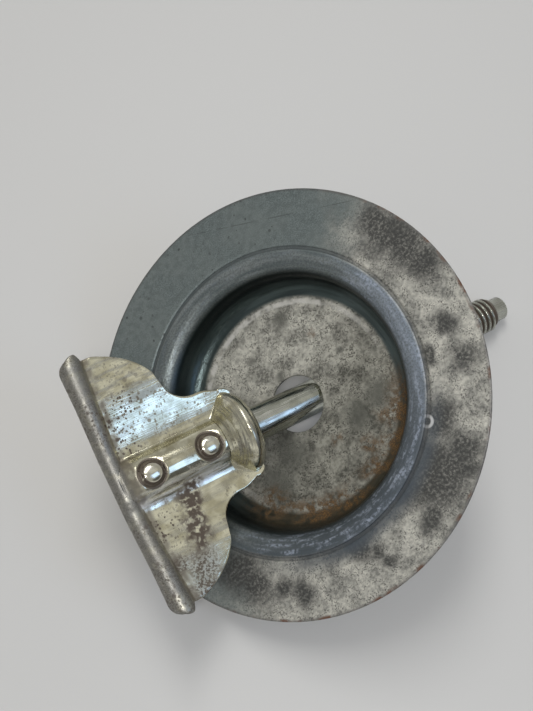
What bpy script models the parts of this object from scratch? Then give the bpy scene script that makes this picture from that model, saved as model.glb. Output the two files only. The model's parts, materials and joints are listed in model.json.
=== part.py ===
"""Wing bolt with a loose dished retainer plate, lying on a table.

Five pieces: the pressed retainer dish, the threaded bolt, the folded sheet wing
and the two rivets that hold the wing on the bolt.  Lengths are in metres, +Z is up,
+X runs along the bolt towards its threaded tip.
"""
import math

import bpy
from mathutils import Matrix, Vector

MM = 0.001

# Retainer dish
DISH_RADIUS = 54.0 * MM
DISH_SHEET = 1.0 * MM
CREASE_RADIUS = 38.9 * MM
CREASE_WIDTH = 1.5 * MM
CREASE_DEPTH = 0.3 * MM
SHOULDER_LAND = 1.1 * MM
SHOULDER_BEND = 5.0 * MM
CORNER_BEND = 4.0 * MM
WALL_DRAFT = math.radians(8.0)
CUP_DEPTH = 9.7 * MM
HOLE_RADIUS = 7.3 * MM
DISH_FACETS = 60

# Bolt
SHANK_RADIUS = 4.5 * MM
THREAD_RADIUS = 4.7625 * MM
THREAD_PITCH = 1.5875 * MM
THREAD_DEPTH = 0.86 * MM
THREAD_LENGTH = 38.0 * MM
POINT_RADIUS = 3.25 * MM
POINT_LENGTH = 4.4 * MM
POINT_CHAMFER = 0.7 * MM
TIP_REACH = 68.4 * MM

# Wing, with lengths along it counted from its mouth
WING_SHEET = 1.1 * MM
WING_REACH = 16.2 * MM
WING_LENGTH = 37.3 * MM
LEAF_GAP = 0.3 * MM
FOOT_BEND = 3.5 * MM
COLLAR_LENGTH = 7.4 * MM
COLLAR_FLARE = 5.7 * MM
COLLAR_BEND = 1.0 * MM
COLLAR_RISE = 1.0 * MM
COLLAR_SQUEEZE = 0.07
LIP_LENGTH = 2.6 * MM
LIP_CURL = 2.2 * MM
NECK_HALF = 13.0 * MM
NECK_BEND = 7.0 * MM
MOUTH_ROUND_LONG = 7.0 * MM
MOUTH_ROUND_WIDE = 3.0 * MM
EAR_FRONT = 15.7 * MM
EAR_HALF = 31.5 * MM
EAR_END = 2.0 * MM
EAR_FULLNESS = 1.25
EAR_LIFT = 1.7 * MM
LIFT_START = 8.0 * MM
LIFT_STOP = 21.5 * MM
BEAD_RADIUS = 2.5 * MM
BEAD_FILLET = 1.0 * MM
BEAD_OVERHANG = 1.9 * MM
BEAD_ROUND = 4.2 * MM
WING_ROLL = math.radians(18.5)

# Rivets
RIVET_INNER = 12.0 * MM
RIVET_OUTER = 27.9 * MM
RIVET_SHANK = 1.7 * MM
RIVET_HEAD = 2.8 * MM
RIVET_DOME = 0.9 * MM

# Clearances between pieces
HOLE_GAP = 0.2 * MM
ROD_GAP = 0.15 * MM
RIVET_GAP = 0.1 * MM
END_GAP = 0.8 * MM

# Values that follow from the sizes above
CREST_MID = SHANK_RADIUS + ROD_GAP + WING_SHEET / 2
CREST_OUTER = CREST_MID + WING_SHEET / 2
CREST_END = RIVET_OUTER + RIVET_HEAD + RIVET_GAP
LEAF_MID = LEAF_GAP / 2 + WING_SHEET / 2
LOOP_MID = BEAD_RADIUS - WING_SHEET / 2
BEAD_AT = WING_LENGTH - BEAD_RADIUS
PINCH_AT = BEAD_AT - math.sqrt((LOOP_MID + BEAD_FILLET) ** 2 - (LEAF_MID + BEAD_FILLET) ** 2)
PINCH_ANGLE = math.atan2(LEAF_MID + BEAD_FILLET, BEAD_AT - PINCH_AT)
HALF_FACET = math.pi / DISH_FACETS
HOLE_LEVEL = -CUP_DEPTH - DISH_SHEET / 2


def smooth(value):
    """Ease from 0 to 1 with level ends."""
    value = min(max(value, 0.0), 1.0)
    return value * value * (3.0 - 2.0 * value)


def arc(centre, radius, start, stop, steps):
    """Points along a circular arc, the first one left out."""
    points = []
    for i in range(1, steps + 1):
        angle = start + (stop - start) * i / steps
        points.append((centre[0] + radius * math.cos(angle), centre[1] + radius * math.sin(angle)))
    return points


def offset_line(points, distance):
    """Points moved sideways, to the left of the line, with mitred corners."""
    moved = []
    count = len(points)
    for i, (x, y) in enumerate(points):
        normals = []
        for j, k in ((i - 1, i), (i, i + 1)):
            if 0 <= j and k < count:
                dx = points[k][0] - points[j][0]
                dy = points[k][1] - points[j][1]
                length = math.hypot(dx, dy)
                normals.append((-dy / length, dx / length))
        nx = sum(n[0] for n in normals) / len(normals)
        ny = sum(n[1] for n in normals) / len(normals)
        scale = distance / (nx * nx + ny * ny)
        moved.append((x + nx * scale, y + ny * scale))
    return moved


def new_object(name, points, edges, faces, collection):
    """A mesh object in a collection."""
    mesh = bpy.data.meshes.new(name)
    mesh.from_pydata(points, edges, faces)
    mesh.update()
    item = bpy.data.objects.new(name, mesh)
    collection.objects.link(item)
    return item


def turned(name, profile, steps, collection, closed):
    """Turn a profile of (radius, height) points about Z with a Screw modifier."""
    count = len(profile)
    points = [(r, 0.0, z) for r, z in profile]
    edges = [(i, i + 1) for i in range(count - 1)]
    if closed:
        edges.append((count - 1, 0))
    item = new_object(name, points, edges, [], collection)
    screw = item.modifiers.new("turn", "SCREW")
    screw.axis = "Z"
    screw.angle = 2.0 * math.pi
    screw.steps = steps
    screw.render_steps = steps
    screw.use_merge_vertices = True
    screw.merge_threshold = 0.000001
    screw.use_smooth_shade = True
    return item


def freeze(item):
    """Replace an object's mesh by the result of its modifiers."""
    graph = bpy.context.evaluated_depsgraph_get()
    mesh = bpy.data.meshes.new_from_object(item.evaluated_get(graph))
    item.modifiers.clear()
    item.data = mesh


def transform_mesh(item, matrix):
    """Move the mesh itself, so that the object keeps a plain transform."""
    item.data.transform(matrix)
    item.data.update()


def boolean(item, tool, operation):
    """Add an exact Boolean with another object."""
    step = item.modifiers.new(operation.lower() + "_" + tool.name, "BOOLEAN")
    step.operation = operation
    step.solver = "EXACT"
    step.object = tool


def metal(name, colour, roughness):
    """A bare or plated metal."""
    material = bpy.data.materials.new(name)
    material.use_nodes = True
    shader = material.node_tree.nodes["Principled BSDF"]
    shader.inputs["Base Color"].default_value = (*colour, 1.0)
    shader.inputs["Metallic"].default_value = 1.0
    shader.inputs["Roughness"].default_value = roughness
    return material


def shade_smooth(item):
    """Smooth shading on every face."""
    item.data.polygons.foreach_set("use_smooth", [True] * len(item.data.polygons))


def dish_profile():
    """Closed section of the dish: the sheet's middle line given its thickness."""
    half = DISH_SHEET / 2
    corner = CORNER_BEND + half
    shoulder = SHOULDER_BEND - half
    land = CREASE_RADIUS - CREASE_WIDTH / 2 - SHOULDER_LAND
    rise = (corner + shoulder) * (1.0 - math.sin(WALL_DRAFT))
    wall = CUP_DEPTH - rise
    floor = land - (corner + shoulder) * math.cos(WALL_DRAFT) - wall * math.tan(WALL_DRAFT)
    line = [(HOLE_RADIUS, HOLE_LEVEL), ((HOLE_RADIUS + floor) / 2, HOLE_LEVEL), (floor, HOLE_LEVEL)]
    line += arc((floor, HOLE_LEVEL + corner), corner, -math.pi / 2, -WALL_DRAFT, 5)
    line.append((line[-1][0] + wall * math.tan(WALL_DRAFT), line[-1][1] + wall))
    line += arc((land, -half - shoulder), shoulder, math.pi - WALL_DRAFT, math.pi / 2, 5)
    step = 0.2 * CREASE_WIDTH
    for radius, depth in ((-0.5, 0.0), (-0.5, 1.0), (0.5, 1.0), (0.5, 0.0)):
        inward = step if depth > 0.0 else 0.0
        at = CREASE_RADIUS + radius * (CREASE_WIDTH - 2.0 * inward)
        line.append((at, -half - depth * CREASE_DEPTH))
    line.append((DISH_RADIUS, -half))
    top = offset_line(line, half)
    bottom = offset_line(line, -half)
    return top + bottom[::-1]


def bolt_profile(end):
    """Half section of the bolt from its end in the wing down to its tip."""
    start = -TIP_REACH + POINT_LENGTH + THREAD_LENGTH
    stop = -TIP_REACH + POINT_LENGTH
    chamfer = 0.2 * SHANK_RADIUS
    points = [(0.0, end), (SHANK_RADIUS - chamfer, end), (SHANK_RADIUS, end - chamfer)]
    points += [(SHANK_RADIUS, end * 0.5), (SHANK_RADIUS, 0.0), (SHANK_RADIUS, start)]
    rows = round(4.0 * THREAD_LENGTH / THREAD_PITCH)
    for i in range(1, rows):
        points.append((THREAD_RADIUS, start + (stop - start) * i / rows))
    points += [(POINT_RADIUS, stop), (POINT_RADIUS, -TIP_REACH + POINT_CHAMFER)]
    points += [(POINT_RADIUS - POINT_CHAMFER, -TIP_REACH), (0.0, -TIP_REACH)]
    return points


def thread_radius(angle, height):
    """Radius of the helical thread at a height, run out at both ends."""
    start = -TIP_REACH + POINT_LENGTH + THREAD_LENGTH
    stop = -TIP_REACH + POINT_LENGTH
    phase = (height / THREAD_PITCH - angle / (2.0 * math.pi)) % 1.0
    flank = 1.0 - abs(2.0 * phase - 1.0)
    tooth = min(max((flank - 0.25) / 0.6, 0.0), 1.0)
    run_in = smooth((start - height) / (1.5 * THREAD_PITCH))
    run_out = smooth((height - stop) / (1.0 * THREAD_PITCH))
    full = THREAD_RADIUS - THREAD_DEPTH * (1.0 - tooth)
    radius = SHANK_RADIUS + (full - SHANK_RADIUS) * run_in
    root = THREAD_RADIUS - THREAD_DEPTH
    return root + (radius - root) * run_out


def cut_thread(item):
    """Move the turned surface in and out along the helix."""
    start = -TIP_REACH + POINT_LENGTH + THREAD_LENGTH
    stop = -TIP_REACH + POINT_LENGTH
    slack = 0.1 * THREAD_PITCH
    for vertex in item.data.vertices:
        x, y, z = vertex.co
        if stop + slack < z < start - slack:
            scale = thread_radius(math.atan2(y, x), z) / math.hypot(x, y)
            vertex.co = (x * scale, y * scale, z)
    item.data.update()


def outline():
    """Plan of one leaf as (distance from the mouth, half width), from arcs and an ear curve."""
    bend = min(NECK_BEND, EAR_FRONT - COLLAR_LENGTH)
    shoulder = NECK_HALF + bend
    line = [(0.0, NECK_HALF - MOUTH_ROUND_WIDE)]
    for i in range(1, 5):
        angle = math.pi / 2 * i / 4
        x = MOUTH_ROUND_LONG * (1.0 - math.cos(angle))
        line.append((x, NECK_HALF - MOUTH_ROUND_WIDE * (1.0 - math.sin(angle))))
    line.append((EAR_FRONT - bend, NECK_HALF))
    line += arc((EAR_FRONT - bend, shoulder), bend, -math.pi / 2, -0.35, 4)
    long = PINCH_AT - EAR_END - EAR_FRONT
    for i in range(1, 8):
        angle = math.pi / 2 * i / 7
        x = EAR_FRONT + long * (1.0 - math.cos(angle) ** EAR_FULLNESS)
        line.append((x, shoulder + (EAR_HALF - shoulder) * math.sin(angle) ** EAR_FULLNESS))
    line.append((PINCH_AT, EAR_HALF))
    return line


def half_width(x, line):
    """Half width of the plan at a distance from the mouth."""
    for (x0, y0), (x1, y1) in zip(line, line[1:]):
        if x <= x1:
            return y0 + (y1 - y0) * (x - x0) / (x1 - x0)
    return line[-1][1]


def section(x, half):
    """Half section of the front leaf as (y, z): round crest, foot bend, flat web.

    Near the mouth the crest flares to a collar, squeezed a little narrower than round, whose
    lip curls in, and the web rises with it.
    """
    flare = smooth((COLLAR_LENGTH - x) / (COLLAR_LENGTH - LIP_LENGTH))
    curl = 1.0 - math.sqrt(1.0 - max(1.0 - x / LIP_LENGTH, 0.0) ** 2)
    radius = CREST_MID + COLLAR_FLARE * flare - LIP_CURL * curl
    level = LEAF_MID + COLLAR_RISE * flare
    bend = FOOT_BEND + (COLLAR_BEND - FOOT_BEND) * flare
    foot = math.sqrt((radius + bend) ** 2 - (level + bend) ** 2)
    meet = math.atan2(foot, level + bend)
    points = [(0.0, radius)]
    points += [(radius * math.sin(meet * i / 5), radius * math.cos(meet * i / 5)) for i in range(1, 6)]
    points += arc((foot, level + bend), bend, -meet - math.pi / 2, -math.pi / 2, 3)
    edge = max(half, foot + 0.8 * WING_SHEET)
    points += [(foot + (edge - foot) * i / 6, level) for i in range(1, 7)]
    return [(y * (1.0 - COLLAR_SQUEEZE * flare), z) for y, z in points]


def lift(y):
    """Rise of the ears, steady between two lines and level beyond."""
    share = min(max((abs(y) - LIFT_START) / (LIFT_STOP - LIFT_START), 0.0), 1.0)
    return EAR_LIFT * (0.65 * share + 0.35 * smooth(share))


def edge_path():
    """Fillet and front half of the bead loop as (x, z, half width), valley to outermost line."""
    path = []
    top = LEAF_MID + BEAD_FILLET
    for x, z in arc((PINCH_AT, top), BEAD_FILLET, -math.pi / 2, -PINCH_ANGLE, 3):
        path.append((x, z, EAR_HALF))
    valley = path[-1][0]
    peak = BEAD_AT - 0.4 * LOOP_MID
    for x, z in arc((BEAD_AT, 0.0), LOOP_MID, math.pi - PINCH_ANGLE, 0.0, 6):
        if x < peak:
            reach = BEAD_OVERHANG * (1.0 - ((peak - x) / (peak - valley)) ** 2)
        else:
            share = (x - peak) / (BEAD_AT + LOOP_MID - peak)
            reach = BEAD_OVERHANG - BEAD_ROUND * (1.0 - math.sqrt(1.0 - share ** 2))
        path.append((x, z, EAR_HALF + reach))
    return path


def wing_rows():
    """Every row of the folded sheet as (x, half row): front leaf, bead, back leaf."""
    line = outline()
    places = [COLLAR_LENGTH * share for share in (0.0, 0.04, 0.1, 0.2, 0.35, 0.5, 0.66, 0.82, 1.0)]
    places += [x for x, _ in line if COLLAR_LENGTH < x < CREST_END - WING_SHEET / 2]
    places += [CREST_END, (CREST_END + PINCH_AT) / 2, PINCH_AT]
    leaf = [(x, LEAF_MID, half_width(x, line)) for x in places]
    front = []
    for x, height, half in leaf + edge_path():
        fade = 1.0 - 0.66 * smooth((x - CREST_END) / (BEAD_AT - CREST_END))
        row = []
        for y, z in section(x, half):
            crest = LEAF_MID + (z - LEAF_MID) * fade
            row.append((y, max(height, crest) if x < BEAD_AT else height))
        front.append((x, row))
    back = [(x, [(y, -z) for y, z in row]) for x, row in reversed(front[:-1])]
    return front + back


def wing_mesh(name, collection):
    """The folded sheet's middle surface as a grid, before it is given thickness."""
    points = []
    width = 0
    for x, half_row in wing_rows():
        row = [(-y, z) for y, z in half_row[:0:-1]] + half_row
        width = len(row)
        points += [(WING_REACH + x, y, z + lift(y)) for y, z in row]
    faces = []
    for i in range(len(points) // width - 1):
        for j in range(width - 1):
            k = i * width + j
            faces.append((k, k + width, k + width + 1, k + 1))
    return new_object(name, points, [], faces, collection)


def cylinder(name, radius, length, centre, axis, sides, collection):
    """A closed cylinder about a point, along a local axis."""
    top = length / 2
    profile = [(0.0, top), (radius, top), (radius, -top), (0.0, -top)]
    item = turned(name, profile, sides, collection, False)
    freeze(item)
    turn = Vector((0.0, 0.0, 1.0)).rotation_difference(Vector(axis)).to_matrix().to_4x4()
    transform_mesh(item, Matrix.Translation(centre) @ turn)
    return item


def rivet(name, at, collection, cutters):
    """A rivet with two domed heads shaped to the round crest."""
    centre = (WING_REACH + at, 0.0, 0.0)
    seat = CREST_OUTER + RIVET_GAP
    top = seat + RIVET_DOME
    edge = math.sqrt(seat ** 2 - RIVET_HEAD ** 2) + 0.35 * RIVET_DOME
    half = [(0.0, top)]
    for i in range(1, 5):
        angle = math.pi / 2 * i / 4
        half.append((RIVET_HEAD * math.sin(angle), edge + (top - edge) * math.cos(angle)))
    profile = half + [(r, -z) for r, z in reversed(half)]
    item = turned(name, profile, 20, collection, False)
    freeze(item)
    transform_mesh(item, Matrix.Translation(centre))
    bed = cylinder(name + "_bed", seat, 4.0 * RIVET_HEAD, centre, (1.0, 0.0, 0.0), 40, cutters)
    upright = (0.0, 0.0, 1.0)
    pin = cylinder(name + "_pin", RIVET_SHANK, 2.0 * (seat + 0.3 * RIVET_DOME), centre, upright, 16, cutters)
    boolean(item, bed, "DIFFERENCE")
    boolean(item, pin, "UNION")
    drill = cylinder(name + "_drill", RIVET_SHANK + RIVET_GAP, 4.0 * seat, centre, upright, 16, cutters)
    return item, drill, [bed, pin, drill]


def rest_angles():
    """Lean of the bolt in the hole, and of the dish and bolt on the table.

    The bolt lies across the hole from edge to edge, and the dish's rim and the
    lowest of the bolt's end, point and thread both rest on the table.
    """
    reach = math.hypot(2.0 * HOLE_RADIUS, DISH_SHEET)
    lean = math.acos(2.0 * (SHANK_RADIUS + HOLE_GAP) / reach) - math.atan2(DISH_SHEET, 2.0 * HOLE_RADIUS)
    along = (math.sin(lean), -math.cos(lean))
    below = (-math.cos(lean), -math.sin(lean))
    rim = (-DISH_RADIUS * math.cos(HALF_FACET), -DISH_SHEET)
    tilt = 0.0
    for reach, side in (
        (TIP_REACH, POINT_RADIUS - POINT_CHAMFER),
        (TIP_REACH - POINT_CHAMFER, POINT_RADIUS),
        (TIP_REACH - POINT_LENGTH - THREAD_PITCH, THREAD_RADIUS),
    ):
        x = reach * along[0] + side * below[0]
        y = HOLE_LEVEL + reach * along[1] + side * below[1]
        tilt = max(tilt, math.atan2(rim[1] - y, x - rim[0]))
    return lean, tilt


for old in list(bpy.data.objects):
    bpy.data.objects.remove(old, do_unlink=True)

parts = bpy.data.collections.new("wing_bolt")
cutters = bpy.data.collections.new("cutters")
bpy.context.scene.collection.children.link(parts)
bpy.context.scene.collection.children.link(cutters)

galvanised = metal("galvanised_sheet", (0.42, 0.45, 0.47), 0.45)
zinc_rod = metal("zinc_rod", (0.62, 0.61, 0.55), 0.3)
zinc_sheet = metal("zinc_sheet", (0.66, 0.63, 0.53), 0.3)
zinc_rivet = metal("zinc_rivet", (0.7, 0.68, 0.6), 0.3)

# Dish, turned about its own axis
dish = turned("retainer_dish", dish_profile(), DISH_FACETS, parts, True)

# Bolt, turned, threaded, then laid along the wing's own X
bolt = turned("bolt", bolt_profile(WING_REACH + CREST_END - END_GAP), 16, parts, False)
freeze(bolt)
cut_thread(bolt)
transform_mesh(bolt, Matrix.Rotation(math.pi / 2, 4, "Y"))
shade_smooth(bolt)

# Wing, folded from one sheet
wing = wing_mesh("wing", parts)
thick = wing.modifiers.new("sheet", "SOLIDIFY")
thick.thickness = WING_SHEET
thick.offset = 0.0
thick.use_even_offset = True
shade_smooth(wing)

# Rivets through the wing's two leaves and the bolt
rivet_inner, drill_inner, tools_inner = rivet("rivet_inner", RIVET_INNER, parts, cutters)
rivet_outer, drill_outer, tools_outer = rivet("rivet_outer", RIVET_OUTER, parts, cutters)
for drill in (drill_inner, drill_outer):
    boolean(bolt, drill, "DIFFERENCE")
    boolean(wing, drill, "DIFFERENCE")
for tool in tools_inner + tools_outer:
    tool.hide_render = True
    tool.display_type = "WIRE"

for item, material in (
    (dish, galvanised),
    (bolt, zinc_rod),
    (wing, zinc_sheet),
    (rivet_inner, zinc_rivet),
    (rivet_outer, zinc_rivet),
):
    item.data.materials.clear()
    item.data.materials.append(material)

# Rest pose: dish tilted about Y with a facet of its rim on the table, bolt leaning through
# its hole and rolled on its axis
lean, tilt = rest_angles()
slope = math.pi / 2 - lean - tilt
dish_turn = Matrix.Rotation(-tilt, 4, "Y")
along = Vector((math.cos(slope), 0.0, -math.sin(slope)))
above = Vector((math.sin(slope), 0.0, math.cos(slope)))
across = Vector((0.0, 1.0, 0.0))
leaf_normal = above * math.cos(WING_ROLL) - across * math.sin(WING_ROLL)
leaf_side = leaf_normal.cross(-along)
bolt_turn = Matrix((-along, leaf_side, leaf_normal)).transposed().to_4x4()
hole_centre = dish_turn @ Vector((0.0, 0.0, HOLE_LEVEL))

pivot = bpy.data.objects.new("bolt_pivot", None)
parts.objects.link(pivot)
pivot.empty_display_size = 0.01
for item in [bolt, wing, rivet_inner, rivet_outer] + tools_inner + tools_outer:
    item.parent = pivot
dish.matrix_world = dish_turn @ Matrix.Rotation(HALF_FACET, 4, "Z")
pivot.matrix_world = Matrix.Translation(hole_centre) @ bolt_turn

# Origin at the middle of the footprint, on the table
bpy.context.view_layer.update()
graph = bpy.context.evaluated_depsgraph_get()
corners = []
for item in (dish, bolt, wing, rivet_inner, rivet_outer):
    shape = item.evaluated_get(graph)
    corners += [shape.matrix_world @ vertex.co for vertex in shape.data.vertices]
low = [min(corner[i] for corner in corners) for i in range(3)]
high = [max(corner[i] for corner in corners) for i in range(3)]
shift = Matrix.Translation((-(low[0] + high[0]) / 2, -(low[1] + high[1]) / 2, -low[2]))
dish.matrix_world = shift @ dish.matrix_world
pivot.matrix_world = shift @ pivot.matrix_world
bpy.context.view_layer.update()
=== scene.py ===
"""Wing bolt and its loose dished retainer plate lying on a pale table.

The CAD frame gives the bodies, the joint and the mount directions.  Every visible
piece is built again here as a fine surface in its own frame, in millimetres, then
placed in the frame's world.
"""

import json
import math

import bpy
import numpy as np
from mathutils import Matrix, Vector


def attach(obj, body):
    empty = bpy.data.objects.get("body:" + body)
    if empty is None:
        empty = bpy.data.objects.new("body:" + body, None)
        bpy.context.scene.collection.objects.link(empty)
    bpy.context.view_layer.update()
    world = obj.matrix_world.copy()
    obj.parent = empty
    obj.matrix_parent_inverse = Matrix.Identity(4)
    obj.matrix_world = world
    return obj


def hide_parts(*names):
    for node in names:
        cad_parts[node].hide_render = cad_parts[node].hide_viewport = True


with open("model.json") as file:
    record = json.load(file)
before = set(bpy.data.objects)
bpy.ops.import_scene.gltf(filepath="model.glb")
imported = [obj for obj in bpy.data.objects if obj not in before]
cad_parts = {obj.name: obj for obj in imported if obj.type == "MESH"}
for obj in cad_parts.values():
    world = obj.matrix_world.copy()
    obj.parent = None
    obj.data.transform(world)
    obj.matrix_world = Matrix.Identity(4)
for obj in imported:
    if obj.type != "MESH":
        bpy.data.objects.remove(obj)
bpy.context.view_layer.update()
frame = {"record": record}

MM = 0.001

# Dish sizes
DISH_RADIUS = 54.0
DISH_SHEET = 1.0
CREASE_RADIUS = 38.9
CREASE_WIDTH = 1.5
CREASE_DEPTH = 0.3
CREASE_SOFT = 0.24
SHOULDER_LAND = 1.1
SHOULDER_BEND = 5.0
CORNER_BEND = 4.0
WALL_DRAFT = math.radians(8.0)
CUP_DEPTH = 9.7
HOLE_RADIUS = 7.3
HOLE_LEVEL = -CUP_DEPTH - DISH_SHEET / 2
SHEARED_EDGE = 0.35
EDGE_FULLNESS = 0.7
WAVE_START = 42.0
WAVES = ((0.10, 2.0, 0.7), (0.06, 5.0, 2.0))

# Bolt sizes
SHANK_RADIUS = 4.5
THREAD_RADIUS = 4.7625
THREAD_PITCH = 1.5875
THREAD_DEPTH = 0.86
THREAD_LENGTH = 38.0
THREAD_RUN_OUT = 1.5
ROOT_FLAT = 0.18
TOOTH_FLANK = 0.62
POINT_RADIUS = 3.25
POINT_LENGTH = 4.4
POINT_CHAMFER = 0.7
TIP_REACH = 68.4

# Wing sizes, with lengths along it counted from its mouth
WING_SHEET = 1.1
WING_REACH = 16.2
WING_LENGTH = 37.3
LEAST_WEB = 0.8 * WING_SHEET
LEAF_GAP = 0.3
ROD_GAP = 0.15
FOOT_BEND_SHARP = 2.0
FOOT_BEND_SOFT = 5.0
COLLAR_LENGTH = 7.4
COLLAR_FLARE = 5.7
COLLAR_BEND = 1.0
COLLAR_RISE = 0.3
COLLAR_SQUEEZE = 0.07
COLLAR_GROOVE = 0.14
GROOVE_WIDTH = 0.07
CREST_FADE = 0.66
LIP_LENGTH = 2.6
LIP_CURL = 2.2
NECK_HALF = 13.0
NECK_BEND = 7.0
MOUTH_ROUND_LONG = 7.0
MOUTH_ROUND_WIDE = 3.0
EAR_FRONT = 15.7
EAR_HALF = 31.5
EAR_END = 2.0
EAR_FULLNESS = 1.25
EAR_LIFT = 1.7
LIFT_STRAIGHT = 0.65
LIFT_START = 8.0
LIFT_STOP = 21.5
BEAD_RADIUS = 2.5
BEAD_FILLET = 1.0
BEAD_PEAK = 0.4
BEAD_OVERHANG = 1.9
BEAD_ROUND = 4.2
BEAD_SWELL = 0.35
SWELL_RUN = 7.0
ROLLED_EDGE = (0.3, 0.5, 0.7)
ROLLED_REACH = 0.7
ROLLED_FULLNESS = 0.6
WING_ROLL = math.radians(18.5)

# Rivet sizes
RIVET_PLACES = (12.0, 27.9)
RIVET_SHANK = 1.7
RIVET_HEAD = 2.8
RIVET_DOME = 0.9
RIVET_ROUND = 0.35
RIVET_STEEP = 7
RIVET_SEAT = 0.02
SKIRT_INSET = 0.15
SKIRT_DROP = 0.12
RING_DEPTH = 0.34
RING_AWAY = 0.45
RING_WIDTH = 0.42
RIVET_GAP = 0.1
END_GAP = 0.8

# Steps of the surfaces
DISH_SIDES = 288
BOLT_SIDES = 64
RIVET_SIDES = 48
PITCH_STEPS = 16.0
CREST_STEPS = 25
ANKLE_STEPS = 13
WEB_STEPS = 36
FILLET_STEPS = 8

# Values that follow from the sizes above
THREAD_STOP = -TIP_REACH + POINT_LENGTH
THREAD_START = -TIP_REACH + POINT_LENGTH + THREAD_LENGTH
CREST_MID = SHANK_RADIUS + ROD_GAP + WING_SHEET / 2
CREST_OUTER = CREST_MID + WING_SHEET / 2
RING_LIMIT = 1.2 * CREST_MID
CREST_END = RIVET_PLACES[1] + RIVET_HEAD + RIVET_GAP
BOLT_END = WING_REACH + CREST_END - END_GAP
LEAF_MID = LEAF_GAP / 2 + WING_SHEET / 2
LOOP_MID = BEAD_RADIUS - WING_SHEET / 2
BEAD_AT = WING_LENGTH - BEAD_RADIUS
DENSE_FROM = EAR_FRONT - 1.5
DENSE_TO = EAR_FRONT + 2.5
PINCH_AT = BEAD_AT - math.sqrt((LOOP_MID + BEAD_FILLET) ** 2 - (LEAF_MID + BEAD_FILLET) ** 2)
PINCH_ANGLE = math.atan2(LEAF_MID + BEAD_FILLET, BEAD_AT - PINCH_AT)


# Frames of the two bodies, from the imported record
def unit(vector):
    """Vector of length one."""
    vector = np.asarray(vector, dtype=float)
    return vector / np.linalg.norm(vector)


record = frame["record"]
mounts = {mount["name"]: mount for mount in record["mounts"]}
pivot = np.array(record["behaviour"]["joints"][0]["pos_m"])
dish_up = -unit(mounts["seat_face"]["axis"])
along = unit(mounts["tip_face"]["axis"])
across = np.array([0.0, 1.0, 0.0])
dish_axes = np.array([np.cross(across, dish_up), across, dish_up])
dish_origin = pivot - dish_up * HOLE_LEVEL * MM
above = np.array([-along[2], 0.0, along[0]])
leaf_up = above * math.cos(WING_ROLL) - across * math.sin(WING_ROLL)
bolt_axes = np.array([-along, np.cross(leaf_up, -along), leaf_up])


# Surfaces
def smooth(value):
    """Ease from 0 to 1 with level ends."""
    value = np.clip(value, 0.0, 1.0)
    return value * value * (3.0 - 2.0 * value)


def full_turn(count):
    """Angles of points spread evenly round a circle."""
    return np.arange(count) * 2.0 * math.pi / count


def arc(centre, radius, start, stop, count):
    """Points of a circular arc, first point left out."""
    angle = start + (stop - start) * np.arange(1, count + 1) / count
    return np.stack([centre[0] + radius * np.cos(angle), centre[1] + radius * np.sin(angle)], axis=1)


def grid_faces(rows, cols, wrap_rows, wrap_cols):
    """Quads between neighbouring points of a grid, wrapped where asked."""
    i = np.arange(rows if wrap_rows else rows - 1)[:, None]
    j = np.arange(cols if wrap_cols else cols - 1)[None, :]
    up = (i + 1) % rows
    side = (j + 1) % cols
    quads = np.stack([i * cols + j, i * cols + side, up * cols + side, up * cols + j], axis=-1)
    return quads.reshape(-1, 4)


def new_object(name, data):
    """Object at the origin, linked to the scene."""
    item = bpy.data.objects.new(name, data)
    bpy.context.scene.collection.objects.link(item)
    return item


def piece(name, local, faces, axes, origin, body, node):
    """Mesh object from local points, with the local place in centimetres kept as an attribute."""
    world = origin + (local * MM) @ axes
    mesh = bpy.data.meshes.new(name)
    mesh.from_pydata(world.tolist(), [], [list(face) for face in faces])
    mesh.update()
    place = mesh.attributes.new("place", "FLOAT_VECTOR", "POINT")
    place.data.foreach_set("vector", (local / 10.0).astype(np.float32).ravel())
    mesh.polygons.foreach_set("use_smooth", np.ones(len(mesh.polygons), dtype=bool))
    item = new_object(name, mesh)
    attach(item, body)
    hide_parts(node)
    return item


def outward(local, faces):
    """Faces turned so that the closed surface's signed volume is positive."""
    p = [local[faces[:, k]] for k in range(4)]
    volume = np.einsum("ni,ni->n", p[0], np.cross(p[1], p[2])).sum()
    volume += np.einsum("ni,ni->n", p[0], np.cross(p[2], p[3])).sum()
    return faces if volume > 0.0 else faces[:, ::-1]


def offset_line(line, distance):
    """Line moved to its left by a distance, mitred at its points."""
    step = np.diff(line, axis=0)
    normal = np.stack([-step[:, 1], step[:, 0]], axis=1) / np.linalg.norm(step, axis=1)[:, None]
    both = np.vstack([normal[:1], (normal[:-1] + normal[1:]) / 2, normal[-1:]])
    return line + both * (distance / (both ** 2).sum(axis=1))[:, None]


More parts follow.
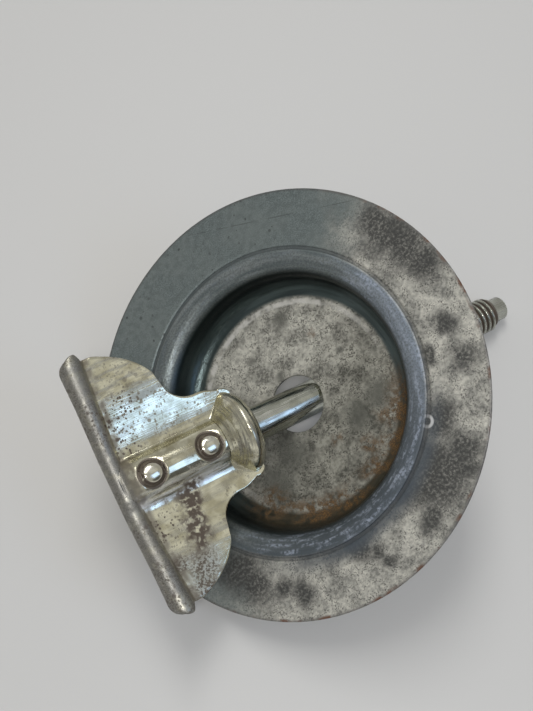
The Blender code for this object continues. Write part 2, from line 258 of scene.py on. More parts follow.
def dish_section():
    """Closed section of the dish with rounded sheared edges, as (radius, height)."""
    half = DISH_SHEET / 2
    corner = CORNER_BEND + half
    shoulder = SHOULDER_BEND - half
    land = CREASE_RADIUS - CREASE_WIDTH / 2 - SHOULDER_LAND
    wall = CUP_DEPTH - (corner + shoulder) * (1.0 - math.sin(WALL_DRAFT))
    floor = land - (corner + shoulder) * math.cos(WALL_DRAFT) - wall * math.tan(WALL_DRAFT)
    flat = np.linspace(HOLE_RADIUS + SHEARED_EDGE, floor, 22)
    parts = [np.stack([flat, np.full(len(flat), HOLE_LEVEL)], axis=1)]
    parts.append(arc((floor, HOLE_LEVEL + corner), corner, -math.pi / 2, -WALL_DRAFT, 16))
    rise = np.linspace(0.0, wall, 5)[1:, None]
    parts.append(parts[-1][-1] + rise * np.array([[math.tan(WALL_DRAFT), 1.0]]))
    parts.append(arc((land, -half - shoulder), shoulder, math.pi - WALL_DRAFT, math.pi / 2, 18))
    ring = np.linspace(land + 0.2, CREASE_RADIUS + CREASE_WIDTH, 28)
    inside = (CREASE_WIDTH + CREASE_SOFT) / 2 - np.abs(ring - CREASE_RADIUS)
    parts.append(np.stack([ring, -half - CREASE_DEPTH * smooth(inside / CREASE_SOFT)], axis=1))
    flange = np.linspace(ring[-1], DISH_RADIUS - SHEARED_EDGE, 18)[1:]
    parts.append(np.stack([flange, np.full(len(flange), -half)], axis=1))
    line = np.vstack(parts)
    top = offset_line(line, half)
    bottom = offset_line(line, -half)
    turn = np.linspace(math.pi / 2, -math.pi / 2, 11)[1:-1]
    reach = SHEARED_EDGE * np.abs(np.cos(turn)) ** EDGE_FULLNESS
    drop = half * np.sign(np.sin(turn)) * np.abs(np.sin(turn)) ** EDGE_FULLNESS
    rim = np.stack([line[-1, 0] + reach, line[-1, 1] + drop], axis=1)
    hole = np.stack([line[0, 0] - reach, line[0, 1] - drop], axis=1)
    return np.vstack([top, rim, bottom[::-1], hole])


def dish_surface(count):
    """Section turned about the dish's axis, the flange a little wavy from use."""
    section = dish_section()
    angle = full_turn(count)
    radius = section[:, :1]
    wave = sum(rise * np.sin(turns * angle + phase) for rise, turns, phase in WAVES)
    height = section[:, 1:] + wave * smooth((radius - WAVE_START) / (DISH_RADIUS - WAVE_START))
    local = np.stack([radius * np.cos(angle), radius * np.sin(angle), height], axis=-1)
    local = local.reshape(-1, 3)
    return local, outward(local, grid_faces(len(section), count, True, True))


def capped(rings, count):
    """Closed surface from rings of points, each end drawn to the ring's middle."""
    local = rings.reshape(-1, 3)
    faces = outward(local, grid_faces(len(rings), count, False, True))
    flip = faces[0][1] != 1
    ends = np.stack([rings[0].mean(axis=0), rings[-1].mean(axis=0)])
    first = len(local)
    ring = np.arange(count)
    after = (ring + 1) % count
    last = (len(rings) - 1) * count
    low = np.stack([after, ring, np.full(count, first)], axis=1)
    high = np.stack([last + ring, last + after, np.full(count, first + 1)], axis=1)
    fans = np.vstack([low, high])
    fans = fans[:, ::-1] if flip else fans
    return np.vstack([local, ends]), faces.tolist() + fans.tolist()


def thread_radius(angle, height):
    """Radius of the rolled thread: rounded teeth along a helix, run out at both ends."""
    phase = (height / THREAD_PITCH - angle / (2.0 * math.pi)) % 1.0
    tooth = smooth((1.0 - np.abs(2.0 * phase - 1.0) - ROOT_FLAT) / TOOTH_FLANK)
    full = THREAD_RADIUS - THREAD_DEPTH * (1.0 - tooth)
    begun = smooth((THREAD_START - height) / (THREAD_RUN_OUT * THREAD_PITCH))
    radius = SHANK_RADIUS + (full - SHANK_RADIUS) * begun
    root = THREAD_RADIUS - THREAD_DEPTH
    return root + (radius - root) * smooth((height - THREAD_STOP) / THREAD_PITCH)


def bolt_surface(count):
    """Bolt turned about its axis, tip to wing end, with the helix in the threaded stretch."""
    bend = POINT_CHAMFER
    # Point and wing end with eased chamfers, as (radius, height)
    tip = [(0.4, -TIP_REACH), (POINT_RADIUS - bend - 0.15, -TIP_REACH)]
    tip += [(POINT_RADIUS - bend + 0.05, -TIP_REACH + 0.08)]
    tip += [(POINT_RADIUS - 0.08, -TIP_REACH + bend - 0.08), (POINT_RADIUS, -TIP_REACH + bend + 0.15)]
    tip += [(POINT_RADIUS, THREAD_STOP - 0.35), (POINT_RADIUS + 0.12, THREAD_STOP - 0.1)]
    end = [(SHANK_RADIUS - 0.1, BOLT_END - 0.7), (SHANK_RADIUS - 0.9, BOLT_END), (0.4, BOLT_END)]
    rows = np.arange(THREAD_STOP, THREAD_START, THREAD_PITCH / PITCH_STEPS)
    shank = np.linspace(THREAD_START, BOLT_END - 1.0, 40)
    height = np.concatenate([[p[1] for p in tip], rows, shank, [p[1] for p in end]])
    angle = full_turn(count)
    stem = shank * 0.0 + SHANK_RADIUS
    plain = np.concatenate([[p[0] for p in tip], rows * 0.0, stem, [p[0] for p in end]])
    radius = np.repeat(plain[:, None], count, axis=1)
    cut = slice(len(tip), len(tip) + len(rows))
    radius[cut] = thread_radius(angle[None, :], height[cut, None])
    high = np.repeat(height[:, None], count, axis=1)
    rings = np.stack([high, radius * np.sin(angle), -radius * np.cos(angle)], axis=-1)
    return capped(rings, count)


def outline():
    """Plan of one leaf: half width against distance from the mouth, from arcs and an ear curve."""
    shoulder = NECK_HALF + NECK_BEND
    turn = np.linspace(0.0, math.pi / 2, 48)
    mouth_x = MOUTH_ROUND_LONG * (1.0 - np.cos(turn))
    mouth_y = NECK_HALF - MOUTH_ROUND_WIDE * (1.0 - np.sin(turn))
    long = PINCH_AT - EAR_END - EAR_FRONT
    ear_x = EAR_FRONT + long * (1.0 - np.cos(turn[8:]) ** EAR_FULLNESS)
    ear_y = shoulder + (EAR_HALF - shoulder) * np.sin(turn[8:]) ** EAR_FULLNESS
    neck = arc((EAR_FRONT - NECK_BEND, shoulder), NECK_BEND, -math.pi / 2, -0.35, 24)
    line = [np.stack([mouth_x, mouth_y], axis=1), np.array([[EAR_FRONT - NECK_BEND, NECK_HALF]]), neck]
    line += [np.stack([ear_x, ear_y], axis=1), np.array([[PINCH_AT, EAR_HALF]])]
    return np.vstack(line)


def leaf_rows(x, half, foot_bend):
    """Half sections of the front leaf at many distances: round crest, foot bend, flat web.

    Near the mouth the crest flares to a collar, squeezed a little narrower than round and
    grooved half way up, whose lip curls in, and the web rises a little with it.
    """
    x = x[:, None]
    share = np.clip((COLLAR_LENGTH - x) / (COLLAR_LENGTH - LIP_LENGTH), 0.0, 1.0)
    flare = 0.5 * share + 0.5 * smooth(share)
    curl = 1.0 - np.sqrt(1.0 - np.maximum(1.0 - x / LIP_LENGTH, 0.0) ** 2)
    groove = COLLAR_GROOVE * np.exp(-((share - 0.5) / GROOVE_WIDTH) ** 2)
    radius = CREST_MID + COLLAR_FLARE * flare - LIP_CURL * curl - groove
    level = LEAF_MID + COLLAR_RISE * smooth(share)
    bend = foot_bend + (COLLAR_BEND - foot_bend) * smooth(share)
    foot = np.sqrt((radius + bend) ** 2 - (level + bend) ** 2)
    meet = np.arctan2(foot, level + bend)
    edge = np.maximum(half[:, None], foot + LEAST_WEB)
    crest = meet * np.linspace(0.0, 1.0, CREST_STEPS)
    ankle = meet * np.linspace(-1.0, 0.0, ANKLE_STEPS)[1:] - math.pi / 2
    web = np.linspace(0.0, 1.0, WEB_STEPS)[1:]
    y = np.hstack([radius * np.sin(crest), foot + bend * np.cos(ankle), foot + (edge - foot) * web])
    z = np.hstack([radius * np.cos(crest), level + bend * (1.0 + np.sin(ankle)), level + 0.0 * web])
    return y * (1.0 - COLLAR_SQUEEZE * flare), z


def lift(y):
    """Rise of the ears, steady between two lines and level beyond."""
    share = np.clip((np.abs(y) - LIFT_START) / (LIFT_STOP - LIFT_START), 0.0, 1.0)
    return EAR_LIFT * (LIFT_STRAIGHT * share + (1.0 - LIFT_STRAIGHT) * smooth(share))


def edge_path():
    """Fillet and front half of the bead loop: x, z and half width, valley to outermost line."""
    middle = (PINCH_AT, LEAF_MID + BEAD_FILLET)
    fillet = arc(middle, BEAD_FILLET, -math.pi / 2, -PINCH_ANGLE, FILLET_STEPS)
    loop = arc((BEAD_AT, 0.0), LOOP_MID, math.pi - PINCH_ANGLE, 0.0, 22)
    peak = BEAD_AT - BEAD_PEAK * LOOP_MID
    inner = np.clip((peak - loop[:, 0]) / (peak - fillet[-1, 0]), 0.0, 1.0)
    outer = np.clip((loop[:, 0] - peak) / (BEAD_AT + LOOP_MID - peak), 0.0, 1.0)
    reach = BEAD_OVERHANG * (1.0 - inner ** 2) - BEAD_ROUND * (1.0 - np.sqrt(1.0 - outer ** 2))
    line = np.vstack([fillet, loop])
    return line[:, 0], line[:, 1], EAR_HALF + np.concatenate([np.zeros(len(fillet)), reach])


def half_middle(x, half, height, leaf_count, foot_bend):
    """One side of the front leaf's middle surface with the front half of the bead.

    Round each rivet a shallow ring is pressed into the crest, and the bead swells towards
    the end of the ear, its outermost line staying straight.
    """
    x = x[:, None]
    y, z = leaf_rows(x[:, 0], half, foot_bend)
    fade = 1.0 - CREST_FADE * smooth((x - CREST_END) / (BEAD_AT - CREST_END))
    crest = np.maximum(height, LEAF_MID + (z - LEAF_MID) * fade)
    z = np.where(x < BEAD_AT, crest, height)
    for place in RIVET_PLACES:
        away = np.hypot(x - place, CREST_MID * np.arctan2(y, z))
        ring = -RING_DEPTH * np.exp(-((away - RIVET_HEAD - RING_AWAY) / RING_WIDTH) ** 2)
        ring = ring * (y < RING_LIMIT)
        length = np.hypot(y, z) + 1e-9
        y = y + ring * y / length
        z = z + ring * z / length
    swell = BEAD_SWELL * np.clip(y / EAR_HALF, 0.0, 1.0) ** 2
    near = smooth((x - PINCH_AT + SWELL_RUN) / SWELL_RUN)
    x = x - swell * near * (BEAD_AT + LOOP_MID - np.maximum(x, PINCH_AT))
    turned = np.maximum(np.arange(len(z)) - leaf_count, 0)[:, None]
    z = z * (1.0 + swell * np.minimum(turned / FILLET_STEPS, 1.0))
    return np.stack([x, y, z], axis=-1)


def wing_middle():
    """Middle surface of the folded sheet: front leaf, bead loop, back leaf."""
    plan = outline()
    leaf_x = np.unique(np.concatenate([
        np.linspace(0.0, 1.0, 14) ** 1.6 * LIP_LENGTH,
        np.linspace(LIP_LENGTH, COLLAR_LENGTH, 36),
        np.linspace(COLLAR_LENGTH, DENSE_FROM, 22),
        np.linspace(DENSE_FROM, DENSE_TO, 20),
        np.linspace(DENSE_TO, PINCH_AT, 46),
    ]))
    path_x, path_z, path_half = edge_path()
    x = np.concatenate([leaf_x, path_x])
    half = np.concatenate([np.interp(leaf_x, plan[:, 0], plan[:, 1]), path_half])
    height = np.concatenate([np.full(len(leaf_x), LEAF_MID), path_z])[:, None]
    sharp = half_middle(x, half, height, len(leaf_x), FOOT_BEND_SHARP) * np.array([1.0, -1.0, 1.0])
    soft = half_middle(x, half, height, len(leaf_x), FOOT_BEND_SOFT)
    front = np.hstack([sharp[:, :0:-1], soft])
    sheet = np.vstack([front, front[-2::-1] * np.array([1.0, 1.0, -1.0])])
    sheet[..., 2] += lift(sheet[..., 1])
    return sheet + np.array([WING_REACH, 0.0, 0.0])


def wing_surface():
    """Middle surface given its thickness both ways, with a rounded edge all round."""
    mid = wing_middle()
    rows, cols = mid.shape[:2]
    du = np.gradient(mid, axis=0)
    dv = np.gradient(mid, axis=1)
    normal = np.cross(du, dv)
    normal /= np.linalg.norm(normal, axis=-1, keepdims=True)
    half = WING_SHEET / 2
    count = rows * cols
    index = np.arange(count).reshape(rows, cols)
    border = np.concatenate([index[0, :-1], index[:-1, -1], index[-1, :0:-1], index[:0:-1, 0]])
    out = np.zeros_like(mid)
    out[0] -= du[0]
    out[-1] += du[-1]
    out[:, 0] -= dv[:, 0]
    out[:, -1] += dv[:, -1]
    out = out.reshape(-1, 3)[border]
    out /= np.linalg.norm(out, axis=1, keepdims=True)
    flat_mid = mid.reshape(-1, 3)
    flat_normal = normal.reshape(-1, 3)
    points = [flat_mid + half * flat_normal, flat_mid - half * flat_normal]
    for share in ROLLED_EDGE:
        turn = share * math.pi - math.pi / 2
        side = ROLLED_REACH * half * math.cos(turn)
        rise = -half * math.copysign(abs(math.sin(turn)) ** ROLLED_FULLNESS, math.sin(turn))
        points.append(flat_mid[border] + rise * flat_normal[border] + side * out)
    local = np.vstack(points)
    sheet = grid_faces(rows, cols, False, False)
    ring = np.arange(len(border))
    after = np.roll(ring, -1)
    lines = [border]
    lines += [2 * count + step * len(border) + ring for step in range(len(ROLLED_EDGE))]
    lines.append(count + border)
    faces = [sheet, sheet[:, ::-1] + count]
    for low, high in zip(lines[:-1], lines[1:]):
        faces.append(np.stack([low[after], low[ring], high[ring], high[after]], axis=1))
    faces = np.vstack(faces)
    top = faces[0]
    facing = np.cross(local[top[1]] - local[top[0]], local[top[2]] - local[top[0]])
    if facing @ flat_normal[0] < 0.0:
        faces = faces[:, ::-1]
    return local, faces


def rivet_surface(place, count):
    """Two low domed heads with a steep rim, laid over the round crest and joined by the shank."""
    angle = full_turn(count)
    seat = CREST_OUTER + RIVET_SEAT
    out = np.sin(np.linspace(0.03, 1.0, 16) * math.pi / 2) * RIVET_HEAD
    share = np.clip(out / RIVET_HEAD, 0.0, 1.0)
    dome = RIVET_ROUND * (1.0 - share ** 2)
    up = RIVET_DOME * (dome + (1.0 - RIVET_ROUND) * np.sqrt(1.0 - share ** RIVET_STEEP))
    out = np.concatenate([out, [RIVET_HEAD - SKIRT_INSET, RIVET_SHANK]])
    up = np.concatenate([up, [-SKIRT_DROP, -SKIRT_DROP]])
    y = out[:, None] * np.sin(angle)
    x = WING_REACH + place + out[:, None] * np.cos(angle)
    z = np.sqrt(seat ** 2 - y ** 2) + up[:, None]
    front = np.stack([x, y, z], axis=-1)
    back = front[::-1] * np.array([1.0, 1.0, -1.0])
    return capped(np.concatenate([front, back]), count)


local, faces = dish_surface(DISH_SIDES)
dish = piece("dish_skin", local, faces, dish_axes, dish_origin, "dish", "retainer_dish")
local, faces = bolt_surface(BOLT_SIDES)
bolt = piece("bolt_skin", local, faces, bolt_axes, pivot, "wing_bolt", "bolt")
local, faces = wing_surface()
wing = piece("wing_skin", local, faces, bolt_axes, pivot, "wing_bolt", "wing")
rivets = []
for node, place in zip(("rivet_inner", "rivet_outer"), RIVET_PLACES):
    local, faces = rivet_surface(place, RIVET_SIDES)
    rivets.append(piece(node + "_skin", local, faces, bolt_axes, pivot, "wing_bolt", node))


# Shader helpers
def put(tree, socket, value):
    """Link a socket to another, or give it a value."""
    if isinstance(value, bpy.types.NodeSocket):
        tree.links.new(value, socket)
    else:
        socket.default_value = value


def calc(tree, operation, *values):
    """One Math node."""
    node = tree.nodes.new("ShaderNodeMath")
    node.operation = operation
    for socket, value in zip(node.inputs, values):
        put(tree, socket, value)
    return node.outputs[0]


def chain(tree, operation, values):
    """Math nodes that join several values in turn."""
    result = values[0]
    for value in values[1:]:
        result = calc(tree, operation, result, value)
    return result


def times(tree, *values):
    """Product of several values."""
    return chain(tree, "MULTIPLY", values)


def plus(tree, *values):
    """Sum of several values."""
    return chain(tree, "ADD", values)


def most(tree, *values):
    """Largest of several values."""
    return chain(tree, "MAXIMUM", values)


def rest(tree, value):
    """One less a value."""
    return calc(tree, "SUBTRACT", 1.0, value)


def hypotenuse(tree, first, second):
    """Length of two parts at right angles."""
    return calc(tree, "SQRT", plus(tree, times(tree, first, first), times(tree, second, second)))


def vector_node(tree, operation, values):
    """Outputs of one Vector Math node."""
    node = tree.nodes.new("ShaderNodeVectorMath")
    node.operation = operation
    for socket, value in zip(node.inputs, values):
        put(tree, socket, value)
    return node.outputs


def vector_calc(tree, operation, *values):
    """One Vector Math node that gives a vector."""
    return vector_node(tree, operation, values)["Vector"]


def vector_value(tree, operation, *values):
    """One Vector Math node that gives a number."""
    return vector_node(tree, operation, values)["Value"]


def towards(tree, place, direction):
    """How far a place lies in a direction."""
    return vector_value(tree, "DOT_PRODUCT", place, direction)


def split(tree, vector):
    """The three parts of a vector."""
    node = tree.nodes.new("ShaderNodeSeparateXYZ")
    put(tree, node.inputs[0], vector)
    return node.outputs


def join(tree, x, y, z):
    """Vector from three parts."""
    node = tree.nodes.new("ShaderNodeCombineXYZ")
    for socket, value in zip(node.inputs, (x, y, z)):
        put(tree, socket, value)
    return node.outputs[0]


def ease(tree, value, low, high, start=0.0, stop=1.0):
    """Smooth step from low to high."""
    node = tree.nodes.new("ShaderNodeMapRange")
    node.interpolation_type = "SMOOTHSTEP"
    for socket, given in zip(node.inputs, (value, low, high, start, stop)):
        put(tree, socket, given)
    return node.outputs[0]


def band(tree, value, middle, half):
    """Soft band round a middle value."""
    away = calc(tree, "ABSOLUTE", calc(tree, "SUBTRACT", value, middle))
    return ease(tree, away, half, 0.3 * half)


def blend(tree, share, first, second):
    """Colour between two colours, each a socket or red, green and blue."""
    node = tree.nodes.new("ShaderNodeMix")
    node.data_type = "RGBA"
    put(tree, node.inputs[0], share)
    for socket, colour in zip(node.inputs[6:8], (first, second)):
        put(tree, socket, (*colour, 1.0) if isinstance(colour, tuple) else colour)
    return node.outputs[2]


def tint(tree, colour, tone, strength, *masks):
    """Colour drawn to a tone by a strength where all the masks are."""
    return blend(tree, times(tree, *masks, strength), colour, tone)


def noise(tree, vector, scale, detail):
    """Noise texture outputs: value and colour."""
    node = tree.nodes.new("ShaderNodeTexNoise")
    put(tree, node.inputs["Vector"], vector)
    put(tree, node.inputs["Scale"], scale)
    put(tree, node.inputs["Detail"], detail)
    return node.outputs


def new_group(name, inputs, outputs):
    """Shader node group with named sockets; gives the tree and its inner ends."""
    tree = bpy.data.node_groups.new(name, "ShaderNodeTree")
    for label, kind in inputs:
        tree.interface.new_socket(label, in_out="INPUT", socket_type=kind)
    for label, kind in outputs:
        tree.interface.new_socket(label, in_out="OUTPUT", socket_type=kind)
    return tree, tree.nodes.new("NodeGroupInput").outputs, tree.nodes.new("NodeGroupOutput").inputs


def use(tree, group, **values):
    """Mask of a node group placed in a tree, its sockets given by name."""
    node = tree.nodes.new("ShaderNodeGroup")
    node.node_tree = group
    for label, value in values.items():
        put(tree, node.inputs[label], value)
    return node.outputs["Mask"]


NUMBER = "NodeSocketFloat"
VECTOR = "NodeSocketVector"
MASK = [("Mask", NUMBER)]
PATCH_SOFT = 0.78


def cloud_group():
    """Soft irregular mask from noise."""
    sockets = [("Vector", VECTOR), ("Scale", NUMBER), ("Detail", NUMBER)]
    tree, given, result = new_group("cloud", sockets + [("Low", NUMBER), ("High", NUMBER)], MASK)
    value = noise(tree, given["Vector"], given["Scale"], given["Detail"])[0]
    put(tree, result["Mask"], ease(tree, value, given["Low"], given["High"]))
    return tree


def patch_group():
    """Round patch with a ragged edge, soft over a given width."""
    sockets = [("Vector", VECTOR), ("Centre", VECTOR), ("Reach", NUMBER), ("Soft", NUMBER)]
    tree, given, result = new_group("patch", sockets + [("Ragged", NUMBER)], MASK)
    wander = vector_calc(tree, "SUBTRACT", noise(tree, given["Vector"], 2.2, 3.0)[1], (0.5, 0.5, 0.5))
    strength = join(tree, given["Ragged"], given["Ragged"], given["Ragged"])
    moved = vector_calc(tree, "MULTIPLY_ADD", wander, strength, given["Vector"])
    inner = calc(tree, "SUBTRACT", given["Reach"], given["Soft"])
    away = vector_value(tree, "DISTANCE", moved, given["Centre"])
    put(tree, result["Mask"], ease(tree, away, given["Reach"], inner))
    return tree


def pits_group():
    """Scattered small spots of many sizes."""
    sockets = [("Vector", VECTOR), ("Scale", NUMBER), ("Size", NUMBER)]
    tree, given, result = new_group("pits", sockets, MASK)
    wander = noise(tree, given["Vector"], 30.0, 2.0)[1]
    cells = tree.nodes.new("ShaderNodeTexVoronoi")
    moved = vector_calc(tree, "MULTIPLY_ADD", wander, (0.05, 0.05, 0.05), given["Vector"])
    put(tree, cells.inputs["Vector"], moved)
    put(tree, cells.inputs["Scale"], given["Scale"])
    chance = split(tree, cells.outputs["Color"])[0]
    size = times(tree, chance, chance, given["Size"])
    core = times(tree, size, 0.55)
    put(tree, result["Mask"], ease(tree, cells.outputs["Distance"], size, core))
    return tree


def streak_group():
    """Long thin marks: noise on a vector stretched by a given scale."""
    sockets = [("Vector", VECTOR), ("Stretch", VECTOR), ("Low", NUMBER), ("High", NUMBER)]
    tree, given, result = new_group("streak", sockets, MASK)
    stretched = vector_calc(tree, "MULTIPLY", given["Vector"], given["Stretch"])
    value = noise(tree, stretched, 1.0, 3.0)[0]
    put(tree, result["Mask"], ease(tree, value, given["Low"], given["High"]))
    return tree


CLOUD = cloud_group()
PATCH = patch_group()
PITS = pits_group()
STREAK = streak_group()


def cloud(tree, place, scale, detail, low, high):
    """Cloud mask at a scale per centimetre."""
    return use(tree, CLOUD, Vector=place, Scale=scale, Detail=detail, Low=low, High=high)


def patches(tree, place, level, ragged, spots):
    """Union of patches, each given as x, y and reach in centimetres at one level."""
    masks = []
    for x, y, reach in spots:
        spot = {"Centre": (x, y, level), "Reach": reach, "Soft": PATCH_SOFT * reach, "Ragged": ragged}
        masks.append(use(tree, PATCH, Vector=place, **spot))
    return most(tree, *masks)


def new_material(name):
    """Material with a Principled shader; gives the tree, the shader and the piece's own place."""
    material = bpy.data.materials.new(name)
    material.use_nodes = True
    tree = material.node_tree
    shader = tree.nodes["Principled BSDF"]
    place = tree.nodes.new("ShaderNodeAttribute")
    place.attribute_name = "place"
    return material, tree, shader, place.outputs["Vector"]


def bump(tree, height, strength, distance):
    """Normal from a height."""
    node = tree.nodes.new("ShaderNodeBump")
    node.inputs["Strength"].default_value = strength
    node.inputs["Distance"].default_value = distance
    put(tree, node.inputs["Height"], height)
    return node.outputs[0]


# Dish finish: places are in centimetres in the dish's own frame
FLOOR = HOLE_LEVEL / 10.0
CREASE_AT = CREASE_RADIUS / 10.0
WORN_SIDE = (0.588, -0.809, 0.0)
SCRATCH_SIDE = (0.5105, 0.859, 0.0)
SCRATCH_AT = 4.69
SCRATCH_HALF = 0.018
RING_CENTRE = (2.78, -2.72, 0.0)
# Dark stains on the flange, each x, y and reach in centimetres; the last two are a painted shadow of the
# wing.
FLANGE_STAINS_AND_SHADOW = (
    (4.55, 1.95, 0.75), (4.70, 1.50, 1.05), (4.84, 1.00, 1.05), (4.95, 0.35, 0.85),
    (4.50, -1.14, 0.46), (4.37, -2.05, 0.56), (3.76, -1.52, 0.28), (3.07, -2.90, 0.75),
    (3.12, -3.72, 0.75), (2.82, -4.01, 0.80), (2.46, -3.89, 1.25), (2.17, -3.96, 1.35),
    (1.58, -4.58, 0.60), (1.46, -3.62, 0.60), (-0.31, -4.21, 0.50), (-0.39, -3.96, 0.36),
    (-0.06, -4.47, 0.36), (0.09, -4.82, 0.28), (-2.55, -3.77, 0.46), (-2.21, -4.22, 0.55),
    (-3.36, -2.74, 1.00), (-3.22, -3.27, 0.80),
)
# Dark stains on the floor; the two at (-0.90, -0.90) and (-1.60, -1.30) are a painted shadow of the wing and
# its collar.
FLOOR_STAINS_AND_SHADOW = (
    (0.88, 2.08, 0.36), (-0.41, 1.70, 0.24), (0.05, 0.83, 0.22), (1.75, 0.37, 0.18), (2.45, -0.15, 0.18),
    (-0.90, -0.90, 0.80), (-1.60, -1.30, 0.80), (1.90, -1.15, 0.55), (1.15, -1.25, 0.60),
)
RUST_SPOTS = (
    (1.79, -1.72, 0.42), (0.99, -2.05, 0.40), (-2.03, -1.72, 0.65), (0.35, -1.35, 0.26), (1.37, 1.28, 0.16),
)


# Dish tones: pairs run from dark to pale, and a third tone is that of specks
BLUE_ZINC = ((0.170, 0.207, 0.211), (0.282, 0.324, 0.324))
BLUE_DRIFT = (0.26, 0.298, 0.295)
BLUE_MOTTLE = (0.135, 0.158, 0.160)
NICK = (0.07, 0.075, 0.075)
WORN_FLANGE = ((0.225, 0.225, 0.209), (0.67, 0.658, 0.595), (0.10, 0.10, 0.093))
DARK_STAIN_AND_SHADOW = (0.052, 0.053, 0.051)
LOW_SHADE = (0.078, 0.096, 0.116)
SCRATCH = (0.06, 0.065, 0.065)
BRIGHT_RING = (0.66, 0.67, 0.68)
CUT_EDGE = (0.12, 0.115, 0.11)
RIM_RUST = (0.13, 0.065, 0.04)
SHOULDER_ZINC = ((0.160, 0.190, 0.195), (0.270, 0.300, 0.300))
SHOULDER_PAINTED_SKY = (0.285, 0.33, 0.40)
SHOULDER_LOW_PAINTED_SHADE = (0.070, 0.087, 0.106)
SHOULDER_GRAIN = (0.085, 0.098, 0.105)
SCUFF_AND_HIGHLIGHT = (0.42, 0.475, 0.58)
WALL_PAINTED_SHADE = ((0.020, 0.029, 0.030), (0.085, 0.112, 0.114))
WALL_SHADE_STREAK = (0.030, 0.042, 0.043)
FAR_WALL_PAINTED_SHADE = (0.012, 0.018, 0.019)
WALL_BROWN = (0.060, 0.047, 0.026)
FLOOR_PAINTED_LIT = ((0.20, 0.198, 0.178), (0.68, 0.670, 0.600), (0.10, 0.098, 0.086))
FLOOR_PAINTED_SHADED = ((0.090, 0.090, 0.076), (0.40, 0.395, 0.345), (0.06, 0.058, 0.05))
FLOOR_STAIN_AND_SHADOW = (0.105, 0.107, 0.092)
FLOOR_EDGE_PAINTED_HIGHLIGHT = (0.80, 0.79, 0.75)
CREASE_PAINTED_SHADE = (0.055, 0.06, 0.065)
RUST = ((0.042, 0.023, 0.008), (0.165, 0.084, 0.020))


def dish_zones(tree, place, radius):
    """Masks of the dish's zones: worn side of the flange, cup, wall and floor."""
    z = split(tree, place)[2]
    wander = times(tree, calc(tree, "SUBTRACT", noise(tree, place, 0.9, 5.0)[0], 0.5), 2.6)
    worn = ease(tree, plus(tree, towards(tree, place, WORN_SIDE), wander), -0.5, 1.3)
    cup = ease(tree, radius, 3.90, 3.78)
    wall = ease(tree, z, -0.08, -0.28)
    floor = times(tree, ease(tree, z, -0.90, -0.95), ease(tree, radius, 2.85, 2.72))
    return worn, cup, wall, floor


def speckled(tree, place, low, high, speck):
    """Worn zinc: soft clouds between two tones, then fine dark specks."""
    soft = cloud(tree, place, 1.9, 5.0, 0.34, 0.62)
    small = cloud(tree, place, 11.0, 5.0, 0.36, 0.62)
    colour = blend(tree, plus(tree, times(tree, soft, 0.6), times(tree, small, 0.4)), low, high)
    fine = cloud(tree, place, 24.0, 3.0, 0.50, 0.60)
    return tint(tree, colour, speck, 0.8, fine, cloud(tree, place, 4.5, 4.0, 0.36, 0.6))


def flange_colour(tree, place, radius, worn):
    """Flange: smooth blue grey on one side; pale, speckled and blotched on the other. Painted shade darkens
    it beside the crease on its low side.

    Gives the colour and the masks of its stains, among them a painted shadow of the wing, and of the rust on
    its rim.
    """
    broad = cloud(tree, place, 0.75, 3.0, 0.38, 0.62)
    nicks = use(tree, PITS, Vector=place, Scale=6.0, Size=0.36)
    colour = blend(tree, cloud(tree, place, 30.0, 4.0, 0.36, 0.66), *BLUE_ZINC)
    colour = tint(tree, colour, BLUE_DRIFT, 0.6, broad)
    colour = tint(tree, colour, BLUE_MOTTLE, 0.35, cloud(tree, place, 5.5, 6.0, 0.42, 0.66))
    colour = tint(tree, colour, NICK, 0.7, nicks, broad)
    colour = blend(tree, worn, colour, speckled(tree, place, *WORN_FLANGE))
    grainy = plus(tree, times(tree, cloud(tree, place, 14.0, 5.0, 0.34, 0.58), 0.3), 0.7)
    # Dark stains, with a painted shadow of the wing among them.
    stain_and_shadow = times(tree, patches(tree, place, 0.0, 0.55, FLANGE_STAINS_AND_SHADOW), grainy)
    colour = tint(tree, colour, DARK_STAIN_AND_SHADOW, 0.97, stain_and_shadow)
    # Painted shade: darker blue on the flange beside the crease, on its low side.
    low_side = ease(tree, towards(tree, place, (0.15, -0.99, 0.0)), 2.2, 3.9)
    colour = tint(tree, colour, LOW_SHADE, 0.85, ease(tree, radius, 4.40, 3.98), low_side)
    faint = times(tree, cloud(tree, place, 1.4, 2.0, 0.40, 0.56), ease(tree, split(tree, place)[0], 0.2, 0.6))
    scratch = band(tree, towards(tree, place, SCRATCH_SIDE), SCRATCH_AT, SCRATCH_HALF)
    colour = tint(tree, colour, SCRATCH, 0.45, scratch, faint)
    ring = band(tree, vector_value(tree, "DISTANCE", place, RING_CENTRE), 0.13, 0.055)
    colour = tint(tree, colour, BRIGHT_RING, 0.8, ring)
    colour = tint(tree, colour, CUT_EDGE, 0.6, ease(tree, radius, 5.30, 5.39))
    rim_rust = times(tree, ease(tree, radius, 5.30, 5.37), cloud(tree, place, 2.2, 4.0, 0.50, 0.64), worn)
    return blend(tree, rim_rust, colour, RIM_RUST), stain_and_shadow, rim_rust


